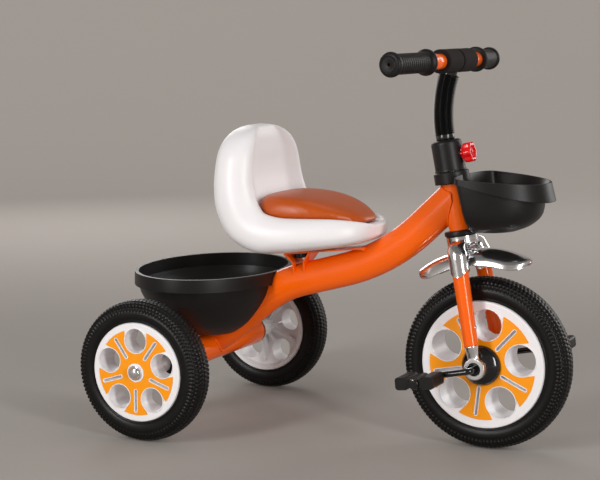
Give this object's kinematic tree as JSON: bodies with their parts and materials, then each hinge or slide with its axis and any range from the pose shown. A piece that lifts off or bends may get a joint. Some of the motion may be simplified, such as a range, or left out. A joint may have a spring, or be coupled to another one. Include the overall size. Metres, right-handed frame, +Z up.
{
  "type": "three-wheel ride-on tricycle",
  "caption": "Child's tricycle with a bent oval frame tube, pedals on the front wheel, bucket seat with cushion, and an open basket front and rear.",
  "frame": {"origin": "on the floor, midway along and across the overall box", "axes": "+X forward, +Y to the rider's left, +Z up"},
  "size_m": [0.6884, 0.451, 0.5732],
  "materials": {
    "frame_paint": "glossy orange paint",
    "chrome": "bright plated",
    "steel": "plain zinc plated",
    "white_plastic": "smooth white moulding",
    "black_plastic": "fine satin moulding",
    "black_gloss": "smooth glossy black",
    "tyre": "matt black foam rubber with a fine tread",
    "grip_rubber": "matt black",
    "foam": "matt black foam",
    "face_orange": "glossy yellow-orange",
    "cushion_leather": "orange-brown synthetic leather, fine grain",
    "red_plastic": "glossy red"
  },
  "bodies": {
    "frame": {"main_tube": "frame_paint", "head_tube": "frame_paint", "rear_axle_tube": "frame_paint", "rear_axle_rod": "steel", "rear_axle_plug_right": "black_plastic", "rear_axle_plug_left": "black_plastic", "axle_cap_nut_right": "chrome", "axle_cap_nut_left": "chrome", "lower_head_bearing": "black_plastic", "upper_head_bearing": "black_plastic", "seat_bracket": "frame_paint", "seat_runner": "black_plastic", "seat_bolt": "steel", "seat_shell": "white_plastic", "seat_cushion": "cushion_leather", "rear_basket": "black_plastic", "front_basket": "black_plastic"},
    "steering": {"steerer_tube": "steel", "stem_collar": "black_plastic", "fork_crown": "chrome", "fork_shoulder_right": "chrome", "fork_shoulder_left": "chrome", "fork_leg_right": "frame_paint", "fork_leg_left": "frame_paint", "fork_end_right": "chrome", "fork_end_left": "chrome", "crank_bush_right": "black_plastic", "crank_bush_left": "black_plastic", "front_mudguard": "chrome", "mudguard_bolt": "steel"},
    "clamp_screw": {"clamp_knob": "red_plastic"},
    "handlebar_assembly": {"handlebar_stem": "black_gloss", "stem_hose": "black_plastic", "handlebar": "frame_paint", "handlebar_grip_right": "grip_rubber", "handlebar_grip_left": "grip_rubber", "handlebar_foam_right": "foam", "handlebar_foam_left": "foam"},
    "seat_screw_knob": {"seat_knob": "black_plastic"},
    "front_wheel": {"front_wheel_rim": "white_plastic", "front_wheel_face_right": "face_orange", "front_wheel_face_left": "face_orange", "front_tyre": "tyre", "front_hub_cap_right": "black_gloss", "front_hub_cap_left": "black_gloss", "crankshaft": "black_gloss"},
    "right_pedal": {"pedal_right": "black_plastic", "pedal_cap_right": "black_gloss"},
    "left_pedal": {"pedal_left": "black_plastic", "pedal_cap_left": "black_gloss"},
    "right_rear_wheel": {"rear_wheel_rim_right": "white_plastic", "rear_wheel_face_right": "face_orange", "rear_tyre_right": "tyre"},
    "left_rear_wheel": {"rear_wheel_rim_left": "white_plastic", "rear_wheel_face_left": "face_orange", "rear_tyre_left": "tyre"}
  },
  "joints": [
    {"name": "steering", "type": "hinge", "parent": "frame", "child": "steering", "pos_m": [0.17415, 0, 0.31395], "axis": [-0.1959, 0, 0.9806], "range_deg": [-45, 45]},
    {"name": "handlebar_height", "type": "slide", "parent": "steering", "child": "handlebar_assembly", "axis": [-0.1959, 0, 0.9806], "range_m": [0, 0.04]},
    {"name": "clamp_knob_turn", "type": "hinge", "parent": "steering", "child": "clamp_screw", "pos_m": [0.15301, 0, 0.41975], "axis": [0.9806, 0, 0.1959], "range_deg": [0, 360]},
    {"name": "seat_knob_turn", "type": "hinge", "parent": "frame", "child": "seat_screw_knob", "pos_m": [-0.08135, 0, 0.26832], "axis": [0.1309, 0, -0.9914], "range_deg": [0, 360]},
    {"name": "front_wheel_spin", "type": "hinge", "parent": "steering", "child": "front_wheel", "pos_m": [0.21915, 0, 0.125], "axis": [0, 1, 0], "continuous": true},
    {"name": "right_pedal_spin", "type": "hinge", "parent": "front_wheel", "child": "right_pedal", "pos_m": [0.15471, -0.1, 0.11071], "axis": [0, 1, 0], "continuous": true},
    {"name": "left_pedal_spin", "type": "hinge", "parent": "front_wheel", "child": "left_pedal", "pos_m": [0.28358, 0.1, 0.13928], "axis": [0, 1, 0], "continuous": true},
    {"name": "right_rear_wheel_spin", "type": "hinge", "parent": "frame", "child": "right_rear_wheel", "pos_m": [-0.23985, -0.195, 0.1043], "axis": [0, 1, 0], "continuous": true},
    {"name": "left_rear_wheel_spin", "type": "hinge", "parent": "frame", "child": "left_rear_wheel", "pos_m": [-0.23985, 0.195, 0.1043], "axis": [0, 1, 0], "continuous": true}
  ]
}
